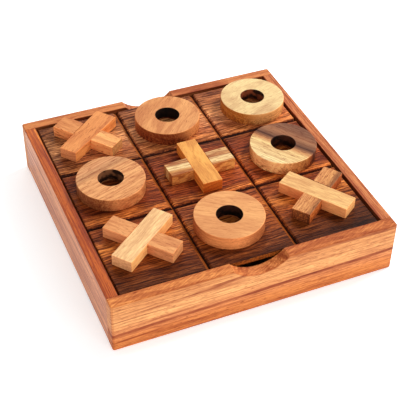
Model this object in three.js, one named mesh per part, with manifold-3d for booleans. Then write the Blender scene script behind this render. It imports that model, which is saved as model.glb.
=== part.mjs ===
// Tic tac toe set: a shallow square wooden tray whose lid is a grooved playing board,
// with five drilled rings and four half-lapped crosses standing on the cells.
// Millimetres, +Z up, +Y towards the back, origin at the middle of the underside.
import * as THREE from 'three';
import { mergeVertices } from 'three/addons/utils/BufferGeometryUtils.js';
import Module from 'manifold-3d';

const wasm = await Module();
wasm.setup();

// Driving dimensions
const tray = { width: 150, depth: 150, height: 29.5, sideRail: 6.0, endRail: 6.4 };
const base = { thickness: 3.0, rabbet: 3.0 };
const notch = { chord: 29.0, depth: 6.2, frontX: 0.8, backX: -2.2, segments: 128 };
const board = { thickness: 3.0, sideGap: 1.0, endGap: 0.7, belowRim: 1.1 };
const groove = { width: 3.3, depth: 1.5, columns: [-23.0, 23.0], rows: [-20.0, 24.2] };
const ledge = { width: 5.0, height: 5.0 };
const ring = { radius: 17.8, hole: 6.55, thickness: 7.4, ease: 0.5, segments: 48 };
const bar = { thickness: 6.4, lapGap: 0.15 };
const restGap = 0.1;

// Where the pieces stand. A ring is placed by its centre, a cross by the point where its
// bars' centre lines meet. The bars are sawn by hand: each has its own length and its own
// width at the start and the end, turn is its direction in degrees, and slide is how far
// its middle lies past the crossing.
const rings = [
  { name: 'ring_back_middle', at: [-0.5, 45.2], wood: 'tanWood' },
  { name: 'ring_back_right', at: [50.4, 44.0], wood: 'paleWood' },
  { name: 'ring_middle_left', at: [-46.9, 5.2], wood: 'tanWood' },
  { name: 'ring_middle_right', at: [47.6, -1.2], wood: 'twoToneWood' },
  { name: 'ring_front_middle', at: [-2.2, -42.9], wood: 'tanWood' },
];
const crosses = [
  {
    name: 'cross_back_left',
    at: [-45.5, 47.9],
    upper: { wood: 'orangeWood', turn: 38.8, length: 37.5, widths: [9.9, 12.5], slide: 0 },
    lower: { wood: 'tanWood', turn: 127.8, length: 37.7, widths: [9.9, 11.3], slide: -0.3 },
  },
  {
    name: 'cross_centre',
    at: [0.6, 1.9],
    upper: { wood: 'orangeWood', turn: 90.4, length: 36.7, widths: [10.7, 10.6], slide: 0.5 },
    lower: { wood: 'twoToneWood', turn: 3.2, length: 36.1, widths: [10.7, 11.4], slide: 0 },
  },
  {
    name: 'cross_front_left',
    at: [-46.2, -39.7],
    upper: { wood: 'paleWood', turn: 38.7, length: 39.0, widths: [11.1, 10.8], slide: 0 },
    lower: { wood: 'tanWood', turn: 129.7, length: 39.0, widths: [10.2, 10.2], slide: 0.2 },
  },
  {
    name: 'cross_front_right',
    at: [47.0, -41.8],
    upper: { wood: 'paleWood', turn: 124.6, length: 38.2, widths: [10.6, 11.3], slide: 0.2 },
    lower: { wood: 'brownWood', turn: 37.3, length: 38.4, widths: [10.2, 10.5], slide: 0 },
  },
];

// Heights and spans that follow from them
const innerWidth = tray.width - 2 * tray.sideRail;
const innerDepth = tray.depth - 2 * tray.endRail;
const boardTop = tray.height - board.belowRim;
const boardBottom = boardTop - board.thickness;
const ledgeTop = boardBottom - restGap;
const pieceBottom = boardTop + restGap;
const cutReach = 2;

const finishes = {
  trayWood: { color: 0xc07a45, roughness: 0.55 },
  boardWood: { color: 0x7a4428, roughness: 0.5 },
  innerWood: { color: 0xb98a5c, roughness: 0.7 },
  tanWood: { color: 0xd99a63, roughness: 0.6 },
  paleWood: { color: 0xe9c58d, roughness: 0.6 },
  twoToneWood: { color: 0xb58560, roughness: 0.6 },
  orangeWood: { color: 0xcf8446, roughness: 0.6 },
  brownWood: { color: 0xa8714a, roughness: 0.6 },
};

function material(name) {
  return new THREE.MeshStandardMaterial({ ...finishes[name], metalness: 0 });
}

// A closed geometry as a solid, with only its positions kept and its corners shared
function solidOf(geometry) {
  const plain = geometry.clone();
  plain.deleteAttribute('normal');
  plain.deleteAttribute('uv');
  const merged = mergeVertices(plain, 1e-5);
  return new wasm.Manifold(new wasm.Mesh({
    numProp: 3,
    vertProperties: new Float32Array(merged.attributes.position.array),
    triVerts: new Uint32Array(merged.index.array),
  }));
}

function geometryOf(solid) {
  const { vertProperties, triVerts } = solid.getMesh();
  const geometry = new THREE.BufferGeometry();
  geometry.setAttribute('position', new THREE.BufferAttribute(vertProperties, 3));
  geometry.setIndex(new THREE.BufferAttribute(triVerts, 1));
  return geometry;
}

function boxSolid(low, high) {
  const size = high.map((value, axis) => value - low[axis]);
  const middle = high.map((value, axis) => (value + low[axis]) / 2);
  return solidOf(new THREE.BoxGeometry(...size).translate(...middle));
}

// A tray wall along X with its inner face towards +Y: the rabbet for the base is cut
// along its lower inner edge
function railSolid(length, thickness, rabbetLength) {
  const wall = boxSolid([-length / 2, -thickness / 2, 0], [length / 2, thickness / 2, tray.height]);
  const rabbet = boxSolid(
    [-rabbetLength / 2, thickness / 2 - base.rabbet, -cutReach],
    [rabbetLength / 2, thickness / 2 + cutReach, base.thickness],
  );
  return wall.subtract(rabbet);
}

// The finger notch is a shallow arc scooped through the top of a rail
function notchSolid(x, thickness) {
  const radius = (notch.chord ** 2 / 4 + notch.depth ** 2) / (2 * notch.depth);
  const drum = new THREE.CylinderGeometry(radius, radius, thickness + 2 * cutReach, notch.segments);
  drum.translate(x, 0, tray.height - notch.depth + radius);
  return solidOf(drum);
}

function endRailGeometry(notchX) {
  const rabbetLength = innerWidth + 2 * base.rabbet;
  const rail = railSolid(tray.width, tray.endRail, rabbetLength);
  return geometryOf(rail.subtract(notchSolid(notchX, tray.endRail)));
}

function sideRailGeometry() {
  return geometryOf(railSolid(innerDepth, tray.sideRail, innerDepth + 2 * cutReach));
}

function basePanelGeometry() {
  const width = innerWidth + 2 * base.rabbet;
  const depth = innerDepth + 2 * base.rabbet;
  return new THREE.BoxGeometry(width, depth, base.thickness).translate(0, 0, base.thickness / 2);
}

function ledgeGeometry() {
  const strip = new THREE.BoxGeometry(ledge.width, innerDepth, ledge.height);
  return strip.translate(0, 0, ledgeTop - ledge.height / 2);
}

// A V-shaped ridge along Y, used to cut one groove into the board's top
function grooveSolid(length) {
  const rise = (groove.width / 2) * (cutReach / groove.depth);
  const section = new THREE.Shape([
    new THREE.Vector2(0, -groove.depth),
    new THREE.Vector2(groove.width / 2 + rise, cutReach),
    new THREE.Vector2(-groove.width / 2 - rise, cutReach),
  ]);
  const ridge = new THREE.ExtrudeGeometry(section, { depth: length, bevelEnabled: false });
  return ridge.translate(0, 0, -length / 2).rotateX(Math.PI / 2);
}

function boardGeometry() {
  const halfWidth = innerWidth / 2 - board.sideGap;
  const halfDepth = innerDepth / 2 - board.endGap;
  const cutLength = tray.width;
  let panel = boxSolid([-halfWidth, -halfDepth, -board.thickness], [halfWidth, halfDepth, 0]);
  for (const x of groove.columns) {
    panel = panel.subtract(solidOf(grooveSolid(cutLength).translate(x, 0, 0)));
  }
  for (const y of groove.rows) {
    panel = panel.subtract(solidOf(grooveSolid(cutLength).rotateZ(Math.PI / 2).translate(0, y, 0)));
  }
  return geometryOf(panel);
}

// A flat ring with eased edges, drilled through the middle
function ringGeometry() {
  const { radius, hole, thickness, ease } = ring;
  const profile = [
    [hole, ease],
    [hole + ease, 0],
    [radius - ease, 0],
    [radius, ease],
    [radius, thickness - ease],
    [radius - ease, thickness],
    [hole + ease, thickness],
    [hole, thickness - ease],
    [hole, ease],
  ].map(([x, y]) => new THREE.Vector2(x, y));
  return new THREE.LatheGeometry(profile, ring.segments).rotateX(Math.PI / 2);
}

// A bar, or the space that it passes through, between two heights: a tapered strip turned
// about Z, wider than the wood by a clearance on each side
function barSolid({ turn, length, widths, slide }, low, high, clearance = 0) {
  const [startHalf, endHalf] = widths.map((width) => width / 2 + clearance);
  const start = slide - length / 2;
  const end = slide + length / 2;
  const outline = new THREE.Shape([
    new THREE.Vector2(start, -startHalf),
    new THREE.Vector2(end, -endHalf),
    new THREE.Vector2(end, endHalf),
    new THREE.Vector2(start, startHalf),
  ]);
  const strip = new THREE.ExtrudeGeometry(outline, { depth: high - low, bevelEnabled: false });
  return solidOf(strip.translate(0, 0, low).rotateZ(THREE.MathUtils.degToRad(turn)));
}

// One bar of a cross, with half its thickness cut away where the other bar passes
function barGeometry(own, other, isUpper) {
  const middle = bar.thickness / 2;
  const whole = barSolid(own, 0, bar.thickness);
  const low = isUpper ? -cutReach : middle - bar.lapGap / 2;
  const high = isUpper ? middle + bar.lapGap / 2 : bar.thickness + cutReach;
  return geometryOf(whole.subtract(barSolid(other, low, high, bar.lapGap)));
}

const set = new THREE.Group();

function add(parent, name, geometry, finish, x = 0, y = 0, z = 0, degrees = 0) {
  const mesh = new THREE.Mesh(geometry, material(finish));
  mesh.name = name;
  mesh.position.set(x, y, z);
  mesh.rotation.z = THREE.MathUtils.degToRad(degrees);
  parent.add(mesh);
}

// Tray
const trayGroup = new THREE.Group();
const endRailY = (tray.depth - tray.endRail) / 2;
const sideRailX = (tray.width - tray.sideRail) / 2;
const ledgeX = (innerWidth - ledge.width) / 2;
add(trayGroup, 'front_rail', endRailGeometry(notch.frontX), 'trayWood', 0, -endRailY, 0, 0);
add(trayGroup, 'back_rail', endRailGeometry(-notch.backX), 'trayWood', 0, endRailY, 0, 180);
add(trayGroup, 'left_rail', sideRailGeometry(), 'trayWood', -sideRailX, 0, 0, -90);
add(trayGroup, 'right_rail', sideRailGeometry(), 'trayWood', sideRailX, 0, 0, 90);
add(trayGroup, 'base_panel', basePanelGeometry(), 'innerWood');
add(trayGroup, 'left_ledge', ledgeGeometry(), 'innerWood', -ledgeX);
add(trayGroup, 'right_ledge', ledgeGeometry(), 'innerWood', ledgeX);
set.add(trayGroup);

// Lift-out board
add(set, 'playing_board', boardGeometry(), 'boardWood', 0, 0, boardTop);

// Rings and crosses, standing on the board
for (const { name, at, wood } of rings) {
  add(set, name, ringGeometry(), wood, at[0], at[1], pieceBottom);
}
for (const { name, at, upper, lower } of crosses) {
  const crossGroup = new THREE.Group();
  crossGroup.position.set(at[0], at[1], pieceBottom);
  add(crossGroup, `${name}_upper_bar`, barGeometry(upper, lower, true), upper.wood);
  add(crossGroup, `${name}_lower_bar`, barGeometry(lower, upper, false), lower.wood);
  set.add(crossGroup);
}

export default set;
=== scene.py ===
import math
import bpy
import bmesh
from mathutils import Matrix, Vector


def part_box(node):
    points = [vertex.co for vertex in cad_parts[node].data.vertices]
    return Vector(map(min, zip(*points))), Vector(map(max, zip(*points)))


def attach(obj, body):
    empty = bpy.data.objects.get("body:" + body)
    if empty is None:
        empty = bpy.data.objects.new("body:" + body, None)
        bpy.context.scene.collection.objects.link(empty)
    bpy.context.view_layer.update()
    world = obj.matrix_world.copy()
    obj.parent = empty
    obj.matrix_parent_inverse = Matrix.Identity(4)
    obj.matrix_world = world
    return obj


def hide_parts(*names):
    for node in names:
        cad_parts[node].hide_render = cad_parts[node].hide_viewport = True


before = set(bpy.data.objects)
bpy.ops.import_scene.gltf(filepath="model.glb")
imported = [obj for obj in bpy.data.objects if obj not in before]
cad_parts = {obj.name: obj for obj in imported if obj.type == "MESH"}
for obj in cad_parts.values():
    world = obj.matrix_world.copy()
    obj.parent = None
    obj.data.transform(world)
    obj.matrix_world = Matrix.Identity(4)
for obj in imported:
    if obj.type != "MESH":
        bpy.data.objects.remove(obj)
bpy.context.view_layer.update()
mm = 0.001
print("frame loaded")

cameraSetup = {
    "azimuth": -23.88,      # degrees, turned left of straight on
    "elevation": 41.13,
    "roll": 1.26,
    "distance": 558.4 * mm,
    "target": (6.4 * mm, 2.7 * mm, 0.0),
    "lens": 88.6,           # mm
    "sensor": 36,           # mm wide
    "clipStart": 10 * mm,
}


def makeCamera(setup):
    azimuth = math.radians(setup["azimuth"])
    elevation = math.radians(setup["elevation"])
    roll = math.radians(setup["roll"])
    away = Vector((
        math.sin(azimuth) * math.cos(elevation),
        -math.cos(azimuth) * math.cos(elevation),
        math.sin(elevation),
    ))
    side = Vector((math.cos(azimuth), math.sin(azimuth), 0))
    up = away.cross(side)
    rolledSide = side * math.cos(roll) + up * math.sin(roll)
    rolledUp = up * math.cos(roll) - side * math.sin(roll)
    data = bpy.data.cameras.new("camera")
    data.lens = setup["lens"]
    data.sensor_width = setup["sensor"]
    data.clip_start = setup["clipStart"]
    camera = bpy.data.objects.new("camera", data)
    bpy.context.scene.collection.objects.link(camera)
    turn = Matrix((rolledSide, rolledUp, away)).transposed()
    place = Vector(setup["target"]) + away * setup["distance"]
    camera.matrix_world = Matrix.Translation(place) @ turn.to_4x4()
    bpy.context.scene.camera = camera


studioSetup = {
    "worldColor": (1.0, 0.985, 0.975),
    "worldStrength": 0.47,
    # each softbox: its place in metres from the middle of the set, its size and its power
    "softboxes": {
        "key": ((0.9, 0.2, 1.05), 0.35, 13.8),
        "back": ((0.4, 1.1, 0.8), 0.8, 3.0),
        "front": ((0.2, -1.25, 0.55), 0.9, 6.5),
        "left": ((-1.2, -0.35, 0.35), 0.8, 2.2),
    },
    "floorHalf": 12.0,
    "floorColor": (0.86, 0.92, 0.94, 1),
    "floorRough": 0.9,
    "floorGloss": 0.1,
    "floorGlow": 0.46,
}


def addAreaLight(name, place, size, power):
    data = bpy.data.lights.new(name, "AREA")
    data.shape = "SQUARE"
    data.size = size
    data.energy = power
    light = bpy.data.objects.new(name, data)
    light.location = place
    light.rotation_euler = (-Vector(place)).to_track_quat("-Z", "Y").to_euler()
    bpy.context.scene.collection.objects.link(light)


def makeStudio(setup):
    world = bpy.data.worlds.new("studio")
    world.use_nodes = True
    background = world.node_tree.nodes["Background"]
    background.inputs["Color"].default_value = (*setup["worldColor"], 1)
    background.inputs["Strength"].default_value = setup["worldStrength"]
    bpy.context.scene.world = world
    for name, (place, size, power) in setup["softboxes"].items():
        addAreaLight(name, place, size, power)
    bm = bmesh.new()
    bmesh.ops.create_grid(bm, x_segments=1, y_segments=1, size=setup["floorHalf"])
    mesh = bpy.data.meshes.new("floor")
    bm.to_mesh(mesh)
    bm.free()
    floor = bpy.data.objects.new("floor", mesh)
    bpy.context.scene.collection.objects.link(floor)
    paper = bpy.data.materials.new("white paper")
    paper.use_nodes = True
    shader = paper.node_tree.nodes["Principled BSDF"]
    shader.inputs["Base Color"].default_value = setup["floorColor"]
    shader.inputs["Roughness"].default_value = setup["floorRough"]
    shader.inputs["Specular IOR Level"].default_value = setup["floorGloss"]
    shader.inputs["Emission Color"].default_value = (1, 1, 1, 1)
    shader.inputs["Emission Strength"].default_value = setup["floorGlow"]
    mesh.materials.append(paper)
    bpy.context.scene.view_settings.view_transform = "Standard"


makeCamera(cameraSetup)
makeStudio(studioSetup)
print("camera and studio ready")


def paint(code):
    # a web colour code as the linear colour that the shader nodes take
    channels = [int(code[i:i + 2], 16) / 255 for i in (1, 3, 5)]
    linear = [c / 12.92 if c <= 0.04045 else ((c + 0.055) / 1.055) ** 2.4 for c in channels]
    return (*linear, 1.0)


class Nodes:
    # short ways to add and link the shader nodes of one material

    def __init__(self, material):
        material.use_nodes = True
        self.tree = material.node_tree
        self.shader = self.tree.nodes["Principled BSDF"]

    def fill(self, socket, value):
        if isinstance(value, bpy.types.NodeSocket):
            self.tree.links.new(value, socket)
        else:
            socket.default_value = value

    def add(self, kind, inputs=None, **settings):
        made = self.tree.nodes.new("ShaderNode" + kind)
        for name, value in settings.items():
            setattr(made, name, value)
        for name, value in (inputs or {}).items():
            self.fill(made.inputs[name], value)
        return made

    def math(self, operation, first, second=0.0):
        return self.add("Math", {0: first, 1: second}, operation=operation).outputs[0]

    def vector(self, operation, first, second=(0, 0, 0)):
        made = self.add("VectorMath", {0: first, 1: second}, operation=operation)
        return made.outputs["Value" if operation in ("LENGTH", "DOT_PRODUCT") else "Vector"]

    def scaled(self, value, amount):
        inputs = {0: value, "Scale": amount}
        return self.add("VectorMath", inputs, operation="SCALE").outputs["Vector"]

    def axis(self, value, name):
        return self.add("SeparateXYZ", {0: value}).outputs[name]

    def product(self, first, *others):
        for other in others:
            first = self.math("MULTIPLY", first, other)
        return first

    def noise(self, place, detail=2.0, roughness=0.5):
        inputs = {"Vector": place, "Scale": 1.0, "Detail": detail, "Roughness": roughness}
        return self.add("TexNoise", inputs).outputs["Fac"]

    def smooth(self, value, low, high):
        # 0 below low, 1 above high, soft between; the other way round when high is the lower
        inputs = {"Value": value, "From Min": low, "From Max": high}
        return self.add("MapRange", inputs, interpolation_type="SMOOTHSTEP").outputs["Result"]

    def stretch(self, value, low, high, start, end):
        inputs = {"Value": value, "From Min": low, "From Max": high, "To Min": start, "To Max": end}
        return self.add("MapRange", inputs).outputs["Result"]

    def blend(self, amount, first, second, mode="MIX"):
        made = self.add("Mix", {0: amount, 6: first, 7: second}, data_type="RGBA", blend_type=mode)
        return made.outputs[2]

    def tinted(self, amount, color, tone):
        return self.blend(amount, color, self.blend(1.0, color, tone, "MULTIPLY"))

    def ramp(self, value, stops):
        low, high = stops[0][0], stops[-1][0]
        made = self.add("ValToRGB", {0: self.stretch(value, low, high, 0.0, 1.0)})
        elements = made.color_ramp.elements
        while len(elements) < len(stops):
            elements.new(0.5)
        for element, (place, code) in zip(elements, stops):
            element.position = (place - low) / (high - low)
            element.color = paint(code)
        return made.outputs["Color"]


# Every piece is solid wood: coloured layers curve round a far pith, the grain runs along
# the piece's own X, and a cut across it shows the darker ends of the fibres.
woodDefaults = {
    "turn": 0,              # degrees about Z from the set's X to the grain
    "lean": (0, 0),         # degrees that the grain climbs and drifts
    "pith": (0, -90),       # mm across and up from the piece to the heart of the tree
    "layers": [(-20, "#b97a4a"), (20, "#c98a56")],   # mm outwards from the middle, colour there
    "wander": (1.5, 60),    # mm that the layers stray, mm between their waves
    "veins": (),            # dark marks, each a dictionary over veinDefaults
    "band": (0.15, 5.0),    # strength of broad tone changes, mm wide
    "line": (0.3, 1.2),     # strength of growth lines, mm wide
    "lineLength": 30,       # mm
    "glow": 0.0,            # how much lighter the wood is between them
    "fibre": (0.26, 0.5),   # strength of short fibres, mm wide
    "pore": (0.7, 0.36),    # strength of pores and their share of the surface
    "topTone": (1.0, 1.0, 1.0),      # tint of faces that look up
    "sideTone": (1.0, 1.0, 1.0),     # tint of upright faces along the grain
    "endTone": (0.7, 0.52, 0.42),    # tint of upright faces across the grain
    "innerWallShade": (0.3, 0.2, 0.15),   # painted shade: darkens a rail's wall inside the tray
    "innerFace": None,               # mm across to that wall
    "edgeTone": (1.12, 1.08, 1.04),  # tint of the eased edges
    "specks": 0.0,          # strength of the dark specks low on the upright faces
    "rough": 0.6,
    "gloss": 0.15,
    "relief": 0.4,
    "burn": None,           # radius in mm of a hole with scorched walls
    "burnTones": ("#1a0d08", "#5a301c"),
    "pull": (1.0, 1.7, 1.8),    # how fast red, green and blue fall: darker wood is redder
    "hatch": None,          # degrees of the fine saw marks on top
    "finish": None,         # a function for what only this piece has
    "seed": 0,
}
veinDefaults = {
    "at": 0.0,              # mm outwards from the middle
    "rise": 0.0,            # mm gained for each mm along the grain
    "width": 1.2,
    "full": 0.3,            # share of its width that is fully dark
    "fade": 2.5,            # mm over which it fades below
    "dark": 0.8,
    "span": (-100, 100),    # mm along the grain where it starts and ends
    "taper": 12,            # mm over which each end fades
}
# What all the woods share. Sizes are in mm along and across the grain. Levels say where on
# the 0 to 1 scale of its noise a mark starts and is full, then its strength at each if given.
grainShape = {
    "seedStep": (37.0, 11.0, 5.0),
    "strayWidth": 22.0,
    "strayGain": 4,         # noise keeps close to its middle, so the gains stretch it
    "bandGain": 4,
    "fibreGain": 3,
    "bandLength": 90,
    "lineLevels": (0.46, 0.62),
    "glowLevels": (0.44, 0.3),
    "fibreLength": 8,       # times its width
    "poreSize": (3.2, 0.42),
    "poreLevels": (0.99, 1.06),     # less the pores' share of the surface
    "veinPatch": (14, 2.5),
    "veinLevels": (0.3, 0.6, 0.45, 1.0),
    "hatchScale": (0.16, 1.3, 0),
    "hatchFacing": (0.5, 0.9),
    "hatchDepth": 1.8,
    "roughSpread": 0.16,
    "reliefDepth": 0.15 * mm,
    "fibreRelief": 0.5,
    "poreRelief": 0.5,
    "lineRelief": 0.35,
}
# flecks on faces across the grain and dark specks low on upright faces, in marks for each mm
faceMarks = {
    "topFacing": (0.3, 0.8),
    "endFacing": (0.35, 0.95),
    "innerShadeFade": (-0.4, -0.1),      # mm from a rail's inner face, where its painted shade fades in
    "fleckScale": (1.5, 1.5, 1.1),
    "fleckLevels": (0.38, 0.6, 0.78, 1.08),
    "speckScale": (0.55, 0.55, 0.6),
    "speckLevels": (0.43, 0.54),
    "speckHeights": (-3.5, 2.5, 0.0, 0.16),     # mm from the middle, and fewer specks higher up
    "speckTone": (0.4, 0.25, 0.18, 1),
}
scorch = {
    "skin": (0.3, 0.1),             # mm outside the hole's wall where it ends and is full
    "patchScale": (0.22, 0.22, 0.4),
    "patchLevels": (0.42, 0.62),
    "lipHeights": (-3.0, -2.6),     # mm from the middle: the lip at the bottom is burnt less
    "lipBurn": 0.4,
}


def veinShade(nodes, depth, along, vein):
    look = {**veinDefaults, **vein}
    line = nodes.math("ADD", look["at"], nodes.math("MULTIPLY", along, look["rise"]))
    away = nodes.math("SUBTRACT", depth, line)
    below = nodes.smooth(away, -look["fade"], 0.0)
    above = nodes.smooth(away, look["width"], look["width"] * look["full"])
    start, end = look["span"]
    entering = nodes.smooth(along, start - look["taper"], start + look["taper"])
    leaving = nodes.smooth(along, end + look["taper"], end - look["taper"])
    return nodes.product(below, above, entering, leaving, look["dark"])


def facingTint(nodes, normal, local, look):
    # one tint for faces that look up, one for upright faces along the grain, one across it, and
    # painted shade on a rail's inner wall
    angle = math.radians(look["turn"])
    upward = nodes.math("ABSOLUTE", nodes.axis(normal, "Z"))
    facing = nodes.vector("DOT_PRODUCT", normal, (math.cos(angle), math.sin(angle), 0))
    top, side, end, inside = (
        (*look[tone], 1) for tone in ("topTone", "sideTone", "endTone", "innerWallShade")
    )
    # painted shade: a rail's wall inside the tray is darkened where the tray's own walls shade it
    if look["innerFace"] is not None:
        start, full = (look["innerFace"] + away for away in faceMarks["innerShadeFade"])
        side = nodes.blend(nodes.smooth(nodes.axis(local, "Y"), start, full), side, inside)
    flecks = nodes.noise(nodes.vector("MULTIPLY", local, faceMarks["fleckScale"]))
    flecks = nodes.stretch(flecks, *faceMarks["fleckLevels"])
    isEnd = nodes.smooth(nodes.math("ABSOLUTE", facing), *faceMarks["endFacing"])
    upright = nodes.blend(nodes.math("MULTIPLY", isEnd, flecks), side, end)
    fewer = nodes.stretch(nodes.axis(local, "Z"), *faceMarks["speckHeights"])
    specks = nodes.noise(nodes.vector("MULTIPLY", local, faceMarks["speckScale"]), 4.0, 0.75)
    specks = nodes.smooth(nodes.math("SUBTRACT", specks, fewer), *faceMarks["speckLevels"])
    specks = nodes.math("MULTIPLY", specks, look["specks"])
    upright = nodes.tinted(specks, upright, faceMarks["speckTone"])
    return nodes.blend(nodes.smooth(upward, *faceMarks["topFacing"]), upright, top)


def burntWall(nodes, color, local, look):
    # the drill scorches the wall of its hole, all but a thin lip at the bottom
    radius = nodes.vector("LENGTH", nodes.vector("MULTIPLY", local, (1, 1, 0)))
    inside = nodes.smooth(radius, *(look["burn"] + away for away in scorch["skin"]))
    patches = nodes.noise(nodes.vector("MULTIPLY", local, scorch["patchScale"]), 3.0)
    dark, brown = (paint(tone) for tone in look["burnTones"])
    soot = nodes.blend(nodes.smooth(patches, *scorch["patchLevels"]), dark, brown)
    aboveLip = nodes.smooth(nodes.axis(local, "Z"), *scorch["lipHeights"])
    scorched = nodes.math("MAXIMUM", aboveLip, scorch["lipBurn"])
    return nodes.blend(nodes.math("MULTIPLY", inside, scorched), color, soot)


def woodMaterial(name, centre, **changes):
    look = {**woodDefaults, **changes}
    material = bpy.data.materials.new(name)
    nodes = Nodes(material)
    coordinates = nodes.add("TexCoord")
    # millimetres from the middle of the piece, with X along it
    local = nodes.add(
        "Mapping",
        {
            "Vector": coordinates.outputs["Object"],
            "Location": centre,
            "Rotation": (0, 0, math.radians(look["turn"])),
            "Scale": (mm, mm, mm),
        },
        vector_type="TEXTURE",
    ).outputs[0]
    climb, drift = (math.radians(angle) for angle in look["lean"])
    grain = nodes.add("Mapping", {"Vector": local, "Rotation": (0, climb, -drift)}).outputs[0]
    place = nodes.vector("ADD", grain, [look["seed"] * step for step in grainShape["seedStep"]])
    along = nodes.axis(grain, "X")
    normal = coordinates.outputs["Normal"]

    def grainNoise(length, width, detail=2.0, roughness=0.5, layered=0.0):
        # layered is the share of the noise that is free of the tree's layers
        stretched = nodes.vector("MULTIPLY", place, (1 / length, 1 / width, 1 / width))
        if layered:
            across = nodes.vector("MULTIPLY", place, (1 / length, layered / width, layered / width))
            outward = nodes.add("CombineXYZ", {"Y": nodes.math("DIVIDE", depth, width)}).outputs[0]
            stretched = nodes.vector("ADD", across, outward)
        return nodes.noise(stretched, detail, roughness)

    # the layers of the tree, straying a little along the grain
    amount, waveLength = look["wander"]
    stray = nodes.math("SUBTRACT", grainNoise(waveLength, grainShape["strayWidth"], 3.0), 0.5)
    across, up = look["pith"]
    fromPith = nodes.vector("MULTIPLY", nodes.vector("SUBTRACT", grain, (0, across, up)), (0, 1, 1))
    radius = nodes.math("SUBTRACT", nodes.vector("LENGTH", fromPith), math.hypot(across, up))
    stray = nodes.math("MULTIPLY", stray, grainShape["strayGain"] * amount)
    depth = nodes.math("ADD", radius, stray)
    color = nodes.ramp(depth, look["layers"])

    # bands and growth lines follow the layers; fibres and pores follow the grain
    strength, width = look["band"]
    bands = nodes.math("SUBTRACT", grainNoise(grainShape["bandLength"], width, layered=0.25), 0.5)
    shade = nodes.math("MULTIPLY", bands, grainShape["bandGain"] * strength)
    strength, width = look["line"]
    growth = grainNoise(look["lineLength"], width, roughness=0.6, layered=0.3)
    lines = nodes.smooth(growth, *grainShape["lineLevels"])
    shade = nodes.math("SUBTRACT", shade, nodes.math("MULTIPLY", lines, strength))
    between = nodes.smooth(growth, *grainShape["glowLevels"])
    shade = nodes.math("ADD", shade, nodes.math("MULTIPLY", between, look["glow"]))
    strength, width = look["fibre"]
    length = grainShape["fibreLength"] * width
    fibres = grainNoise(length, width, detail=3.0, roughness=0.65)
    streaks = nodes.math("SUBTRACT", fibres, 0.5)
    streaks = nodes.math("MULTIPLY", streaks, grainShape["fibreGain"] * strength)
    shade = nodes.math("ADD", shade, streaks)
    strength, share = look["pore"]
    start, full = (level - share for level in grainShape["poreLevels"])
    pores = grainNoise(*grainShape["poreSize"], detail=1.0, roughness=0.4)
    pores = nodes.smooth(pores, start, full)
    shade = nodes.math("SUBTRACT", shade, nodes.math("MULTIPLY", pores, strength))
    patches = nodes.stretch(grainNoise(*grainShape["veinPatch"]), *grainShape["veinLevels"])
    for vein in look["veins"]:
        mark = nodes.math("MULTIPLY", veinShade(nodes, depth, along, vein), patches)
        shade = nodes.math("SUBTRACT", shade, mark)
    if look["hatch"] is not None:
        rotation = (0, 0, math.radians(-look["hatch"]))
        turned = nodes.add("Mapping", {"Vector": local, "Rotation": rotation}).outputs[0]
        marks = nodes.noise(nodes.vector("MULTIPLY", turned, grainShape["hatchScale"]), 2.0, 0.6)
        upward = nodes.smooth(nodes.axis(normal, "Z"), *grainShape["hatchFacing"])
        marks = nodes.math("MULTIPLY", nodes.math("SUBTRACT", marks, 0.5), upward)
        shade = nodes.math("ADD", shade, nodes.math("MULTIPLY", marks, grainShape["hatchDepth"]))
    pulled = [nodes.math("MULTIPLY", shade, pull) for pull in look["pull"]]
    channels = [nodes.math("POWER", 2.0, value) for value in pulled]
    shadeColor = nodes.add("CombineColor", dict(enumerate(channels))).outputs[0]
    color = nodes.blend(1.0, color, shadeColor, "MULTIPLY")

    color = nodes.blend(1.0, color, facingTint(nodes, normal, local, look), "MULTIPLY")
    edge = nodes.add("Attribute", attribute_name="edge").outputs["Fac"]
    color = nodes.tinted(edge, color, (*look["edgeTone"], 1))
    if look["burn"]:
        color = burntWall(nodes, color, local, look)
    if look["finish"]:
        color = look["finish"](nodes, color, local, normal)

    nodes.fill(nodes.shader.inputs["Base Color"], color)
    spread = grainShape["roughSpread"]
    rough = nodes.math("ADD", look["rough"] - spread / 2, nodes.math("MULTIPLY", fibres, spread))
    nodes.fill(nodes.shader.inputs["Roughness"], rough)
    nodes.shader.inputs["Specular IOR Level"].default_value = look["gloss"]
    height = nodes.math("MULTIPLY", fibres, grainShape["fibreRelief"])
    for dents, weight in ((pores, grainShape["poreRelief"]), (lines, grainShape["lineRelief"])):
        height = nodes.math("SUBTRACT", height, nodes.math("MULTIPLY", dents, weight))
    relief = {"Strength": look["relief"], "Distance": grainShape["reliefDepth"], "Height": height}
    nodes.fill(nodes.shader.inputs["Normal"], nodes.add("Bump", relief).outputs[0])
    return material


def middleOf(nodeName):
    low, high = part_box(nodeName)
    return (low + high) / 2


def sizeOf(nodeName):
    low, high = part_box(nodeName)
    return high - low


closeBy = 0.01 * mm         # places nearer than this are the same
cornerFold = 55             # degrees: an edge folded more than this is a corner of the blank
shadedFold = 40             # degrees: flatter folds are shaded smooth
flatFold = 0.5              # degrees: faces folded less than this are one
levelStep = 2 * mm          # an edge that climbs less than this counts as level


def newMesh():
    # the edge layer marks the eased faces for the wood
    bm = bmesh.new()
    bm.faces.layers.float.new("edge")
    return bm


def bevelEdges(bm, edges, width, segments):
    eased = bmesh.ops.bevel(
        bm,
        geom=edges,
        offset=width,
        offset_type="OFFSET",
        segments=segments,
        profile=0.5,
        affect="EDGES",
        material=-1,
        clamp_overlap=True,
    )
    layer = bm.faces.layers.float["edge"]
    for face in eased["faces"]:
        face[layer] = 1.0


def edgesWhere(bm, test):
    return [edge for edge in bm.edges if all(test(vert.co) for vert in edge.verts)]


def near(value, target):
    return abs(value - target) < closeBy


def isCorner(edge):
    return edge.calc_face_angle(0) > math.radians(cornerFold)


def isLevel(edge):
    return abs(edge.verts[0].co.z - edge.verts[1].co.z) < levelStep


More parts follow.
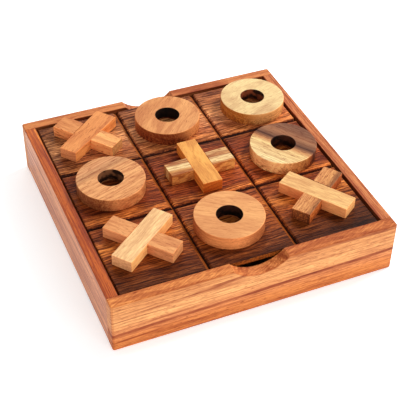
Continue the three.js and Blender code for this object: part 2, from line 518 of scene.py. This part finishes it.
def cutAcross(bm, point, normal):
    geom = bm.verts[:] + bm.edges[:] + bm.faces[:]
    bmesh.ops.bisect_plane(bm, geom=geom, dist=0.01 * closeBy, plane_co=point, plane_no=normal)


def extrudeFaces(bm, faces, way):
    # returns the moved faces; the old ones stay where they were
    made = bmesh.ops.extrude_face_region(bm, geom=faces)["geom"]
    verts = [item for item in made if isinstance(item, bmesh.types.BMVert)]
    bmesh.ops.translate(bm, vec=way, verts=verts)
    return [item for item in made if isinstance(item, bmesh.types.BMFace)]


def joinFlatFaces(bm):
    bmesh.ops.dissolve_limit(
        bm,
        angle_limit=math.radians(flatFold),
        verts=bm.verts,
        edges=bm.edges,
        use_dissolve_boundaries=False,
    )


def moveMesh(bm, place, degrees=0):
    turn = Matrix.Rotation(math.radians(degrees), 4, "Z")
    bmesh.ops.transform(bm, matrix=Matrix.Translation(place) @ turn, verts=bm.verts)


def finishPiece(name, bm, material, body, slot, *nodes):
    bmesh.ops.remove_doubles(bm, verts=bm.verts, dist=0.1 * closeBy)
    bmesh.ops.recalc_face_normals(bm, faces=bm.faces)
    mesh = bpy.data.meshes.new(name)
    bm.to_mesh(mesh)
    bm.free()
    mesh.materials.append(material)
    mesh.polygons.foreach_set("use_smooth", [True] * len(mesh.polygons))
    mesh.set_sharp_from_angle(angle=math.radians(shadedFold))
    piece = bpy.data.objects.new(name, mesh)
    bpy.context.scene.collection.objects.link(piece)
    weighted = piece.modifiers.new("flat faces stay flat", "WEIGHTED_NORMAL")
    weighted.keep_sharp = True
    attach(piece, body)
    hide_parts(*nodes)


railShape = {
    "rabbet": 3.0 * mm,         # for the base, up and in from the lower inner edge
    "cornerRound": 1.1 * mm,
    "topRound": 0.6 * mm,
    "bottomRound": 1.5 * mm,
    "innerRound": 0.35 * mm,
    "jointLine": 0.12 * mm,
    "notchChord": 29.0 * mm,
    "notchDepth": 6.2 * mm,
    "notchSteps": 36,
    "segments": {"corner": 5, "bottom": 4, "top": 3, "inner": 2},
}


def railOutline(bm, length, height, front, notchX=None):
    # the rail seen from outside, as one face in the plane y = front
    half = length / 2
    if notchX is None:
        top = [bm.verts.new((-half, front, height)), bm.verts.new((half, front, height))]
    else:
        chord, depth = railShape["notchChord"], railShape["notchDepth"]
        radius = (chord ** 2 / 4 + depth ** 2) / (2 * depth)
        first = bm.verts.new((notchX - chord / 2, front, height))
        bmesh.ops.spin(
            bm,
            geom=[first],
            cent=(notchX, front, height - depth + radius),
            axis=(0, 1, 0),
            angle=-2 * math.asin(chord / 2 / radius),
            steps=railShape["notchSteps"],
        )
        arc = sorted(bm.verts, key=lambda vert: vert.co.x)
        top = [bm.verts.new((-half, front, height)), *arc, bm.verts.new((half, front, height))]
    bottom = [bm.verts.new((half, front, 0)), bm.verts.new((-half, front, 0))]
    return bm.faces.new(top + bottom)


def railMesh(length, thickness, height, rabbetHalf, notchX=None):
    # along X with its inner face towards +Y, built outwards in two layers round the rabbet
    bm = newMesh()
    rabbet = railShape["rabbet"]
    railOutline(bm, length, height, -thickness / 2, notchX)
    cutAcross(bm, (0, 0, rabbet), (0, 0, 1))
    if rabbetHalf < length / 2:
        for x in (rabbetHalf, -rabbetHalf):
            cutAcross(bm, (x, 0, 0), (1, 0, 0))

    def inRabbet(face):
        middle = face.calc_center_median()
        return middle.z < rabbet and abs(middle.x) < rabbetHalf

    middleLayer = extrudeFaces(bm, bm.faces[:], (0, thickness - rabbet, 0))
    thick = [face for face in middleLayer if not inRabbet(face)]
    extrudeFaces(bm, thick, (0, rabbet, 0))
    bmesh.ops.delete(bm, geom=thick, context="FACES_KEEP_BOUNDARY")
    bmesh.ops.recalc_face_normals(bm, faces=bm.faces)
    joinFlatFaces(bm)
    return bm


def easeRail(bm, length, thickness, height, isEnd):
    half, outer, inner = length / 2, -thickness / 2, thickness / 2
    corner, segments = railShape["cornerRound"], railShape["segments"]
    if isEnd:
        for side in (-half, half):
            upright = edgesWhere(bm, lambda p: near(p.x, side) and near(p.y, outer))
            bevelEdges(bm, upright, corner, segments["corner"])

    def isOuter(p):
        inRound = isEnd and abs(p.x) > half - corner - closeBy
        return near(p.y, outer) or (inRound and p.y < inner + closeBy)

    def isInner(edge):
        return all(near(vert.co.y, inner) for vert in edge.verts)

    bottom = [e for e in edgesWhere(bm, lambda p: near(p.z, 0) and isOuter(p)) if not isInner(e)]
    bevelEdges(bm, bottom, railShape["bottomRound"], segments["bottom"])
    notched = height - railShape["notchDepth"] - closeBy
    top = [
        e for e in edgesWhere(bm, lambda p: p.z > notched and isOuter(p))
        if not isInner(e) and e.is_convex and isCorner(e) and isLevel(e)
    ]
    bevelEdges(bm, top, railShape["topRound"], segments["top"])
    innerTop = [
        e for e in edgesWhere(bm, lambda p: near(p.y, inner) and p.z > notched)
        if isCorner(e) and not near(e.verts[0].co.x, e.verts[1].co.x)
    ]
    bevelEdges(bm, innerTop, railShape["innerRound"], segments["inner"])
    if not isEnd:
        for side in (-half, half):
            ends = [e for e in edgesWhere(bm, lambda p: near(p.x, side)) if isCorner(e)]
            bevelEdges(bm, ends, railShape["jointLine"], 1)


# the mottle of the fibres' ends on the sawn arc of a finger notch, in mm
notchMottle = {
    "below": (0.7, 1.2),            # from the top of the rail
    "reach": (16, 15),              # from the middle of the notch
    "facing": (0.2, 0.5),
    "spotScale": (0.9, 0.35, 0.9),
    "paler": (-2, 13, 0.0, 0.2),    # along the rail, and how much paler it gets
    "levels": (0.24, 0.44),
    "spotTone": (0.6, 0.44, 0.36, 1),
    "clearTone": (0.95, 0.86, 0.86, 1),
}


def mottledNotch(notchX, height):
    def finish(nodes, color, local, normal):
        parts = nodes.add("SeparateXYZ", {0: local}).outputs
        fromMiddle = nodes.math("SUBTRACT", parts["X"], notchX)
        start, full = (height / 2 - down for down in notchMottle["below"])
        below = nodes.smooth(parts["Z"], start, full)
        upward = nodes.smooth(nodes.axis(normal, "Z"), *notchMottle["facing"])
        inReach = nodes.smooth(nodes.math("ABSOLUTE", fromMiddle), *notchMottle["reach"])
        spots = nodes.noise(nodes.vector("MULTIPLY", local, notchMottle["spotScale"]), 3.0, 0.7)
        paler = nodes.stretch(fromMiddle, *notchMottle["paler"])
        clear = nodes.smooth(nodes.math("SUBTRACT", spots, paler), *notchMottle["levels"])
        tone = nodes.blend(clear, notchMottle["spotTone"], notchMottle["clearTone"])
        return nodes.tinted(nodes.product(below, upward, inReach), color, tone)

    return finish


def makeRail(name, degrees, notchX, look):
    low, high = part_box(name)
    size = high - low
    isEnd = notchX is not None
    length, thickness = (size.x, size.y) if isEnd else (size.y, size.x)
    # the rabbet of an end rail stops in the side rails' rabbets; theirs runs right through
    rabbetHalf = length / 2 - sizeOf("left_rail").x + railShape["rabbet"] if isEnd else length
    bm = railMesh(length, thickness, size.z, rabbetHalf, notchX)
    easeRail(bm, length, thickness, size.z, isEnd)
    middle = (low + high) / 2
    moveMesh(bm, (middle.x, middle.y, low.z), degrees)
    looks = {**railWood, **look, "turn": degrees, "innerFace": thickness / 2 / mm}
    if isEnd:
        looks["finish"] = mottledNotch(notchX / mm, size.z / mm)
    material = woodMaterial(name + " wood", middle, **looks)
    finishPiece(name + "_wood", bm, material, "tray", "tray_wood", name)


railWood = {
    "pith": (0, -900),
    "band": (0.12, 3.5),
    "line": (0.4, 0.9),
    "fibre": (0.4, 0.5),
    "pore": (0.6, 0.35),
    "wander": (0.6, 60),
    "lean": (0.5, 0),
    "topTone": (0.84, 0.7, 0.6),
    "endTone": (0.86, 0.84, 1.0),
    "edgeTone": (0.88, 0.78, 0.72),
}
railLooks = {
    "front_rail": {
        "seed": 1, "hatch": 28, "topTone": (0.94, 0.78, 0.64),
        "layers": [
            (-15, "#d07638"), (-8, "#de8746"), (-3, "#dd8c55"), (3, "#eba668"), (8, "#e29b60"),
            (15, "#dc9256"),
        ],
        "veins": (
            {"at": 9.8, "rise": 0.05, "width": 0.9, "fade": 0.8, "dark": 0.7, "span": (-66, -24)},
            {
                "at": 10.6, "rise": 0.06, "width": 1.6, "fade": 2.0, "dark": 1.1,
                "span": (-30, -8), "taper": 8,
            },
            {"at": 12.8, "width": 1.2, "fade": 1.0, "dark": 0.8, "span": (20, 74)},
            {"at": 4.4, "width": 0.5, "fade": 0.6, "dark": 0.6, "span": (-80, -44)},
            {"at": -2.9, "rise": 0.014, "width": 1.2, "fade": 2.0, "dark": 1.2, "span": (-90, -20)},
            {"at": -6.4, "rise": 0.03, "width": 0.6, "fade": 1.0, "dark": 0.8, "span": (-90, -50)},
            {"at": 1.0, "rise": 0.03, "width": 0.5, "fade": 1.2, "dark": 0.6, "span": (-70, -36)},
            {"at": -2.6, "rise": 0.022, "width": 0.9, "fade": 2.0, "dark": 1.4, "span": (-10, 90)},
            {"at": 14.6, "width": 4.0, "fade": 2.6, "dark": 0.5, "span": (6, 90), "taper": 8},
            {"at": -9.6, "rise": 0.012, "width": 1.2, "fade": 1.5, "dark": 0.7, "span": (-52, -18)},
        ),
    },
    "back_rail": {
        "seed": 2, "layers": [(-15, "#d98a48"), (0, "#e09552"), (15, "#e49c63")],
        "veins": (
            {"at": 15.0, "width": 2.0, "fade": 1.0, "dark": 0.8, "span": (-44, -12), "taper": 6},
        ),
    },
    "left_rail": {
        "seed": 3, "rough": 0.45, "gloss": 0.25,
        # the outer side's tint, paler and bluer, is partly the wood and partly a painted white
        # reflection that this grazing face shows
        "topTone": (0.72, 0.38, 0.12), "sideTone": (1.05, 1.08, 1.16),
        "pith": (-600, -600), "line": (0.7, 0.8), "lineLength": 40,
        "layers": [
            (-12, "#cc8050"), (-4, "#ca7e50"), (3, "#d68c5c"), (8, "#d68c5c"), (10, "#dc9058"),
            (13, "#cc8450"),
        ],
        "veins": (
            {"at": -4.5, "width": 1.0, "fade": 2.0, "dark": 0.3, "span": (-90, 90)},
            {"at": 2.5, "width": 1.0, "fade": 1.5, "dark": 0.25, "span": (-90, 90)},
            {"at": 11.8, "rise": 0.004, "width": 0.5, "fade": 0.7, "dark": 0.8, "span": (-90, 60)},
            {"at": 9.6, "rise": -0.006, "width": 0.3, "fade": 0.4, "dark": 0.5, "span": (-50, 80)},
            {"at": 14.0, "width": 3.0, "fade": 6.0, "dark": -0.85, "span": (-90, -50), "taper": 10},
        ),
    },
    "right_rail": {
        "seed": 4, "pith": (-600, -600), "line": (0.55, 0.8), "band": (0.2, 2.5),
        "topTone": (0.88, 0.74, 0.68),
        "layers": [(-12, "#d48a52"), (8, "#d8905c"), (13, "#d8905c")],
        "veins": (
            {"at": 12.2, "width": 0.4, "fade": 0.8, "dark": 0.6, "span": (-70, 20)},
            {"at": 9.2, "rise": 0.01, "width": 0.4, "fade": 0.5, "dark": 0.6, "span": (-20, 70)},
        ),
    },
}

# each rail's turn in degrees, and where its notch is along it
for railName, (railTurn, notchPlace) in {
    "front_rail": (0, 0.8 * mm),
    "back_rail": (180, 2.2 * mm),
    "left_rail": (-90, None),
    "right_rail": (90, None),
}.items():
    makeRail(railName, railTurn, notchPlace, railLooks[railName])
print("tray rails done")


def boxMesh(low, high):
    bm = newMesh()
    bmesh.ops.create_cube(bm, size=1)
    size = Vector(high) - Vector(low)
    bmesh.ops.scale(bm, vec=size, verts=bm.verts)
    bmesh.ops.translate(bm, vec=(Vector(low) + Vector(high)) / 2, verts=bm.verts)
    return bm


insideShape = {"baseEdge": 0.15 * mm, "ledgeEdge": 0.4 * mm}
insideLook = {
    "layers": [(-60, "#c9a070"), (0, "#d6b083"), (60, "#c49a6a")],
    "pith": (-900, 0),
    "line": (0.15, 2.0),
    "endTone": (0.8, 0.7, 0.6),
}


def makeInsideStrip(name, edge, turn, seed):
    bm = boxMesh(*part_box(name))
    bevelEdges(bm, bm.edges[:], edge, 2)
    material = woodMaterial(name + " wood", middleOf(name), turn=turn, seed=seed, **insideLook)
    finishPiece(name + "_wood", bm, material, "tray", "inner_wood", name)


makeInsideStrip("base_panel", insideShape["baseEdge"], turn=0, seed=5)
makeInsideStrip("left_ledge", insideShape["ledgeEdge"], turn=90, seed=6)
makeInsideStrip("right_ledge", insideShape["ledgeEdge"], turn=90, seed=7)
print("base and ledges done")


boardShape = {
    "grooveWidth": 3.3 * mm,
    "grooveDepth": 1.5 * mm,
    "columns": (-23.0 * mm, 23.0 * mm),
    "rows": (-20.0 * mm, 24.2 * mm),
    "edge": 0.6 * mm,
    "lip": 0.22 * mm,
    "lipFolds": (25, 70),   # degrees
}
boardTones = {
    # stain and painted shade in the grooves: a brown tone, then a near black one deeper down
    "groove": (0.62, 0.46, 0.36, 1),
    "valley": (0.16, 0.11, 0.09, 1),
    "side": "#ac5a1e",
    # painted light: the lighter bare wood on groove walls that face right, towards the key light
    "cut": "#a2541f",
    "corner": 0.6,          # how much darker the front right corner is
    "across": 0.0056,       # how much lighter each mm to the right is in the back row
}
boardPlaces = {
    # in mm from the middle of the board
    "backRow": (-30, 40, 0.25, 1.0),        # front to back, and the share of "across" there
    "cornerX": (10, 66),
    "cornerY": (-30, -62),
    "cutReach": (50, 45),                   # the rim is outside it
    "tearScale": 0.9,                       # tears for each mm
    # in mm below the top
    # where the stain and painted shade of the grooves begin and are full
    "groove": (0.1, 0.5),
    "valley": (0.35, 0.8),
    "tornLip": (0.3, 0.7, -0.2, 0.3),       # levels of the tears, and how far they move the stain and painted shade
    "leftDrop": (-0.5, -0.2, 0.22, 0.0),    # how a wall faces, and how much lower its stain and painted shade start
}
boardLevels = {
    "slanted": (0.1, 0.35),
    "upright": (0.3, 0.1),
    "facesRight": (0.2, 0.5),
    # walls that face right, towards the key light, get little of the stain and painted shade
    "stainAndShadeOnRight": (0.1, 0.4, 1.0, 0.1),
    "cutTears": (0.3, 0.55, 0.3, 1.0),
    "sideTears": (0.38, 0.6, 0.15, 0.8),
    "cutShare": 0.35,       # how much of the board's own colour shows in the lighter cut wood painted on lit walls
}


def boardFinish(nodes, color, local, normal):
    place = nodes.add("SeparateXYZ", {0: local}).outputs
    weight = nodes.stretch(place["Y"], *boardPlaces["backRow"])
    lighter = nodes.product(place["X"], weight, boardTones["across"])
    color = nodes.scaled(color, nodes.math("ADD", lighter, 1.0))
    # the front right corner is nearly black
    cornerX = nodes.smooth(place["X"], *boardPlaces["cornerX"])
    cornerY = nodes.smooth(place["Y"], *boardPlaces["cornerY"])
    darker = nodes.product(cornerX, cornerY, boardTones["corner"])
    color = nodes.scaled(color, nodes.math("SUBTRACT", 1.0, darker))
    # partly stain, partly painted shade: the grooves below their lips and the eased rim are
    # darkened
    facing = nodes.add("SeparateXYZ", {0: normal}).outputs
    tears = nodes.noise(nodes.scaled(local, boardPlaces["tearScale"]), 3.0)
    torn = nodes.stretch(tears, *boardPlaces["tornLip"])
    top = sizeOf("playing_board").z / 2 / mm
    depth = nodes.math("SUBTRACT", nodes.math("SUBTRACT", top, place["Z"]), torn)
    # on walls that look left, away from the key light, the stain and painted shade start lower;
    # walls that look right, towards it, get little of them and show lighter bare wood, which is
    # painted light
    depth = nodes.math("SUBTRACT", depth, nodes.stretch(facing["X"], *boardPlaces["leftDrop"]))
    slanted = nodes.smooth(facing["Z"], *boardLevels["slanted"])
    stainAndShade = nodes.stretch(facing["X"], *boardLevels["stainAndShadeOnRight"])
    for part in ("groove", "valley"):
        below = nodes.smooth(depth, *boardPlaces[part])
        color = nodes.tinted(nodes.product(below, slanted, stainAndShade), color, boardTones[part])
    # painted light: walls that look right, where the key light falls, are painted as lighter bare
    # wood
    inner = nodes.smooth(nodes.math("ABSOLUTE", place["X"]), *boardPlaces["cutReach"])
    right = nodes.smooth(facing["X"], *boardLevels["facesRight"])
    litBare = nodes.product(slanted, inner, nodes.stretch(tears, *boardLevels["cutTears"]), right)
    litCutWood = nodes.blend(boardLevels["cutShare"], paint(boardTones["cut"]), color)
    color = nodes.blend(litBare, color, litCutWood)
    # the upright sides are bare wood too, with streaks of stain
    streaks = nodes.stretch(tears, *boardLevels["sideTears"])
    sideWood = nodes.blend(streaks, paint(boardTones["side"]), color)
    upright = nodes.smooth(nodes.math("ABSOLUTE", facing["Z"]), *boardLevels["upright"])
    return nodes.blend(upright, color, sideWood)


boardLook = {
    "seed": 8,
    # across the board from the front edge to the back
    "layers": [
        (-68, "#56270f"), (-58, "#723616"), (-50, "#92481c"), (-43, "#a85624"), (-36, "#d27a36"),
        (-30, "#a25228"), (-24, "#863e1c"), (-17, "#ca6e30"), (-12, "#843616"), (-4, "#a04a20"),
        (5, "#ba6028"), (12, "#823618"), (20, "#904422"), (27, "#ca7a42"), (34, "#b06238"),
        (41, "#e89c64"), (50, "#e0965c"), (60, "#b46c3e"), (68, "#985838"),
    ],
    "pith": (-1500, 0),
    "wander": (2.2, 42),
    "band": (0.6, 4.0),
    "line": (1.8, 0.9),
    "lineLength": 13,
    "glow": 0.5,
    "fibre": (1.35, 0.5),
    "pore": (0.8, 0.36),
    "pull": (1.0, 1.25, 1.3),
    "endTone": (1.0, 1.0, 1.0),
    "edgeTone": (1.0, 1.0, 1.0),
    "rough": 0.42,
    "gloss": 0.08,
    "relief": 0.9,
    "finish": boardFinish,
}


def onAny(value, targets):
    return any(near(value, target) for target in targets)


def cutGrooves(bm, top):
    columns, rows = boardShape["columns"], boardShape["rows"]
    halfGroove = boardShape["grooveWidth"] / 2
    for places, normal in ((columns, Vector((1, 0, 0))), (rows, Vector((0, 1, 0)))):
        for place in places:
            for cut in (place - halfGroove, place, place + halfGroove):
                cutAcross(bm, normal * cut, normal)
    # where two grooves cross, each quarter folds along the line from its corner to the middle
    for face in [f for f in bm.faces if near(f.calc_center_median().z, top)]:
        middle = [v for v in face.verts if onAny(v.co.x, columns) and onAny(v.co.y, rows)]
        corner = [v for v in face.verts if not onAny(v.co.x, columns) and not onAny(v.co.y, rows)]
        if middle:
            bmesh.utils.face_split(face, middle[0], corner[0])
    valley = [
        v for v in bm.verts
        if near(v.co.z, top) and (onAny(v.co.x, columns) or onAny(v.co.y, rows))
    ]
    bmesh.ops.translate(bm, vec=(0, 0, -boardShape["grooveDepth"]), verts=valley)
    joinFlatFaces(bm)


def easeBoard(bm, low, high):
    halfGroove = boardShape["grooveWidth"] / 2
    upperHalf = (low.z + high.z) / 2 - 0.1 * mm

    def onRim(p):
        return onAny(p.x, (low.x, high.x)) or onAny(p.y, (low.y, high.y))

    def onLip(p):
        besideColumn = any(near(abs(p.x - x), halfGroove) for x in boardShape["columns"])
        besideRow = any(near(abs(p.y - y), halfGroove) for y in boardShape["rows"])
        return near(p.z, high.z) and (besideColumn or besideRow)

    rim = [
        e for e in edgesWhere(bm, lambda p: onRim(p) and p.z > upperHalf)
        if isCorner(e) and isLevel(e)
    ]
    bevelEdges(bm, rim, boardShape["edge"], 3)
    flattest, steepest = (math.radians(fold) for fold in boardShape["lipFolds"])
    lips = [
        e for e in edgesWhere(bm, onLip)
        if e.is_convex and flattest < e.calc_face_angle(0) < steepest
    ]
    bevelEdges(bm, lips, boardShape["lip"], 2)


def makeBoard():
    low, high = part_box("playing_board")
    bm = boxMesh(low, high)
    cutGrooves(bm, high.z)
    easeBoard(bm, low, high)
    material = woodMaterial("board wood", middleOf("playing_board"), **boardLook)
    finishPiece("playing_board_wood", bm, material, "board", "board_wood", "playing_board")


makeBoard()
print("playing board done")


ringShape = {
    "hole": 6.55 * mm,
    "steps": 96,
    "outerEdge": 0.45 * mm,
    "holeEdge": 0.25 * mm,
}
ringLooks = {
    "ring_back_middle": {
        "slot": "tan_wood", "turn": 48, "seed": 11, "pith": (30, -40), "pore": (0.4, 0.36),
        "layers": [(-20, "#d8945c"), (0, "#dd995f"), (20, "#d8945c")],
        "sideTone": (1.1, 0.92, 0.74), "endTone": (0.32, 0.12, 0.06), "specks": 0.85,
        "burnTones": ("#0c0605", "#1c0e09"),
    },
    "ring_back_right": {
        "slot": "pale_wood", "turn": 17, "seed": 12, "pith": (20, -60),
        "pore": (0.35, 0.35), "band": (0.09, 5.0),
        "layers": [(-20, "#e3be86"), (0, "#e6c78e"), (20, "#e6c890")],
        "sideTone": (1.22, 0.78, 0.5), "endTone": (0.66, 0.29, 0.08), "specks": 0.7,
        "burnTones": ("#2a130b", "#8c4628"),
    },
    "ring_middle_left": {
        "slot": "tan_wood", "turn": 20, "seed": 13, "pith": (-300, -60),
        "layers": [
            (-20, "#d7925a"), (-6, "#e3a168"), (5, "#df9f68"), (9, "#b87e54"), (13, "#dc9e6c"),
            (20, "#d4945e"),
        ],
        "sideTone": (1.08, 0.92, 0.8), "endTone": (0.32, 0.16, 0.09), "specks": 0.3,
        "fibre": (0.35, 0.9),
        "burnTones": ("#2a160e", "#8a5838"),
    },
    "ring_middle_right": {
        "slot": "two_tone_wood", "turn": -57, "seed": 14, "pith": (-300, 20), "band": (0.2, 4.0),
        "layers": [
            (-20, "#ecd29a"), (-6, "#eac888"), (-2.5, "#c88c58"), (0, "#8c5a3c"), (2, "#522f22"),
            (4, "#7c5038"), (8, "#a87450"), (12, "#885a40"), (20, "#744a38"),
        ],
        "sideTone": (1.4, 1.02, 0.78), "endTone": (0.66, 0.38, 0.22), "specks": 0.75,
        "burnTones": ("#1c0e09", "#4a2416"),
    },
    "ring_front_middle": {
        "slot": "tan_wood", "turn": -32, "seed": 15, "pith": (0, -40), "pore": (0.3, 0.35),
        "line": (0.18, 1.2), "band": (0.1, 5.0), "fibre": (0.24, 0.7),
        "layers": [(-20, "#df9b60"), (0, "#e2a065"), (20, "#e29f65")],
        "sideTone": (1.12, 0.82, 0.66), "endTone": (0.62, 0.38, 0.3), "specks": 0.3,
        "burnTones": ("#0c0604", "#381a10"),
    },
}


def makeRing(name, look):
    low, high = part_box(name)
    middle = (low + high) / 2
    hole, outer = ringShape["hole"], (high.x - low.x) / 2
    bm = newMesh()
    section = ((hole, low.z), (outer, low.z), (outer, high.z), (hole, high.z))
    corners = [bm.verts.new((x, 0, z)) for x, z in section]
    bmesh.ops.spin(
        bm,
        geom=[bm.edges.new((a, b)) for a, b in zip(corners, corners[1:] + corners[:1])],
        cent=(0, 0, 0),
        axis=(0, 0, 1),
        angle=math.tau,
        steps=ringShape["steps"],
        use_merge=True,
    )
    bmesh.ops.recalc_face_normals(bm, faces=bm.faces)
    for radius, edge, segments in ((outer, "outerEdge", 3), (hole, "holeEdge", 2)):
        circles = [
            e for e in edgesWhere(bm, lambda p: near(p.xy.length, radius))
            if near(e.verts[0].co.z, e.verts[1].co.z)
        ]
        bevelEdges(bm, circles, ringShape[edge], segments)
    moveMesh(bm, (middle.x, middle.y, 0))
    looks = {key: value for key, value in look.items() if key != "slot"}
    material = woodMaterial(name + " wood", middle, burn=hole / mm, **looks)
    finishPiece(name + "_wood", bm, material, name, look["slot"], name)


for ringName, ringLook in ringLooks.items():
    makeRing(ringName, ringLook)
print("rings done")


barShape = {
    "lapGap": 0.15 * mm,
    "edge": 0.4 * mm,
}
# Each bar has its own direction in degrees and its sizes in mm: its length, its width at the
# start and the end, and how far its middle lies past the point where the two bars cross.
crosses = {
    "cross_back_left": {
        "upper": {
            "turn": 38.8, "length": 37.5, "widths": (9.9, 12.5), "slide": 0,
            "slot": "orange_wood", "seed": 21,
            "layers": [(-8, "#e09154"), (8, "#e69758")],
            "sideTone": (1.22, 1.2, 1.0), "endTone": (0.98, 0.86, 0.98),
        },
        "lower": {
            "turn": 127.8, "length": 37.7, "widths": (9.9, 11.3), "slide": -0.3,
            "slot": "tan_wood", "seed": 22,
            "layers": [(-8, "#e59c60"), (8, "#db9056")],
            "veins": (
                # lightens the whole start of the bar
                {"at": -20, "width": 100, "fade": 1, "dark": -0.4, "span": (-40, 0), "taper": 4},
            ),
            "sideTone": (1.3, 1.14, 1.05), "endTone": (0.7, 0.68, 0.62), "specks": 0.4,
        },
    },
    "cross_centre": {
        "upper": {
            "turn": 90.4, "length": 36.7, "widths": (10.7, 10.6), "slide": 0.5,
            "slot": "orange_wood", "seed": 23,
            "layers": [(-8, "#e29d4d"), (8, "#e8a354")], "pore": (0.35, 0.35),
            "sideTone": (1.12, 0.74, 0.46), "endTone": (0.93, 0.5, 0.26),
        },
        "lower": {
            "turn": 3.2, "length": 36.1, "widths": (10.7, 11.4), "slide": 0,
            "slot": "two_tone_wood", "seed": 24,
            "pith": (-200, 0), "lean": (0, -6), "wander": (0.5, 20),
            "layers": [
                (-6, "#b87844"), (-3.4, "#d09458"), (-2.6, "#ecc88c"), (0.6, "#efd094"),
                (1.4, "#a8683e"), (2.2, "#d8a268"), (3.2, "#b87c4c"), (5, "#dcae74"),
            ],
            "line": (0.7, 0.7), "lineLength": 10,
            "sideTone": (1.5, 1.48, 1.1), "endTone": (0.92, 0.72, 0.56),
        },
    },
    "cross_front_left": {
        "upper": {
            "turn": 38.7, "length": 39.0, "widths": (11.1, 10.8), "slide": 0,
            "slot": "pale_wood", "seed": 25,
            "layers": [(-8, "#eab880"), (8, "#eebf86")], "band": (0.06, 4.0),
            "line": (0.14, 1.0), "fibre": (0.4, 0.8), "pore": (0.3, 0.34),
            "sideTone": (1.3, 1.08, 0.78), "endTone": (1.0, 0.77, 0.73),
        },
        "lower": {
            "turn": 129.7, "length": 39.0, "widths": (10.2, 10.2), "slide": 0.2,
            "slot": "tan_wood", "seed": 26,
            "layers": [(-8, "#dc9458"), (0, "#e39e64"), (8, "#dd965e")],
            "sideTone": (1.14, 1.02, 1.05), "endTone": (1.15, 1.12, 1.1),
        },
    },
    "cross_front_right": {
        "upper": {
            "turn": 124.6, "length": 38.2, "widths": (10.6, 11.3), "slide": 0.2,
            "slot": "pale_wood", "seed": 27,
            "layers": [(-8, "#e2ad6e"), (8, "#e6b576")], "band": (0.08, 4.0),
            "line": (0.2, 1.0), "fibre": (0.4, 0.7), "pore": (0.4, 0.35),
            "sideTone": (1.15, 0.76, 0.65), "endTone": (1.4, 1.15, 1.0),
        },
        "lower": {
            "turn": 37.3, "length": 38.4, "widths": (10.2, 10.5), "slide": 0,
            "slot": "brown_wood", "seed": 28,
            "pith": (-120, 0), "wander": (0.8, 14),
            "layers": [(-6, "#7c4a2c"), (-3.8, "#9a6238"), (-2, "#cc8a51"), (6, "#da965c")],
            "fibre": (0.7, 0.6), "pore": (1.2, 0.38),
            "sideTone": (2.0, 1.3, 0.75), "endTone": (0.3, 0.18, 0.15), "specks": 0.6,
        },
    },
}
# what of a bar's settings is its shape and place, and not its look
barPlan = ("length", "widths", "slide", "slot")


def barCorners(bar, clearance=0.0):
    # the bar's outline about the crossing before it is turned: its two corners on each side
    start, end = bar["slide"] - bar["length"] / 2, bar["slide"] + bar["length"] / 2
    startHalf, endHalf = (width / 2 + clearance / mm for width in bar["widths"])
    sides = (((start, -startHalf), (end, -endHalf)), ((start, startHalf), (end, endHalf)))
    return [[Vector((x * mm, y * mm, 0)) for x, y in side] for side in sides]


def lapCuts(own, other):
    # the two upright planes of the lap, each a point on it and the way out of the lap
    turned = Matrix.Rotation(math.radians(other["turn"] - own["turn"]), 3, "Z")
    cuts = []
    for (start, end), side in zip(barCorners(other, barShape["lapGap"]), (1, -1)):
        start, end = turned @ start, turned @ end
        cuts.append((start, (end - start).cross(Vector((0, 0, side))).normalized()))
    return cuts


def barMesh(own, other, height, isUpper):
    # the half that runs right through, then an arm pulled out of it on each side of the lap
    gap = barShape["lapGap"]
    waist = (height + gap) / 2 if isUpper else (height - gap) / 2
    low, high = (waist, height) if isUpper else (0, waist)
    (startRight, endRight), (startLeft, endLeft) = barCorners(own)
    bm = boxMesh((startRight.x, -1, low), (endRight.x, 1, high))
    for vert in bm.verts:
        half = startLeft.y if near(vert.co.x, startLeft.x) else endLeft.y
        vert.co.y = math.copysign(half, vert.co.y)
    cuts = lapCuts(own, other)
    for point, outward in cuts:
        cutAcross(bm, point, outward)

    def beyondLap(place, margin=closeBy):
        flat = Vector((place.x, place.y, 0))
        return any((flat - point).dot(outward) > margin for point, outward in cuts)

    def isSeat(face):
        middle = face.calc_center_median()
        return near(middle.z, waist) and beyondLap(middle)

    seats = [face for face in bm.faces if isSeat(face)]
    extrudeFaces(bm, seats, (0, 0, -waist if isUpper else height - waist))
    bmesh.ops.delete(bm, geom=seats, context="FACES_KEEP_BOUNDARY")
    bmesh.ops.recalc_face_normals(bm, faces=bm.faces)
    joinFlatFaces(bm)
    outside = [
        e for e in bm.edges
        if e.is_convex and isCorner(e) and any(beyondLap(v.co, gap) for v in e.verts)
    ]
    bevelEdges(bm, outside, barShape["edge"], 2)
    return bm


def crossingOf(nodeName, bar):
    # where the two bars cross: the middle of the bar's box, less its own middle about the crossing
    turn = Matrix.Rotation(math.radians(bar["turn"]), 3, "Z")
    corners = [turn @ corner for side in barCorners(bar) for corner in side]
    crossing = middleOf(nodeName)
    for axis in (0, 1):
        places = [corner[axis] for corner in corners]
        crossing[axis] -= (min(places) + max(places)) / 2
    return crossing


def makeBar(cross, which, bars):
    name = f"{cross}_{which}_bar"
    low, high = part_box(name)
    isUpper = which == "upper"
    own, other = bars[which], bars["lower" if isUpper else "upper"]
    bm = barMesh(own, other, high.z - low.z, isUpper)
    crossing = crossingOf(name, own)
    moveMesh(bm, (crossing.x, crossing.y, low.z), own["turn"])
    looks = {key: value for key, value in own.items() if key not in barPlan}
    material = woodMaterial(name + " wood", crossing, **looks)
    finishPiece(name + "_wood", bm, material, cross, own["slot"], name)


for crossName, crossBars in crosses.items():
    makeBar(crossName, "upper", crossBars)
    makeBar(crossName, "lower", crossBars)
print("crosses done")
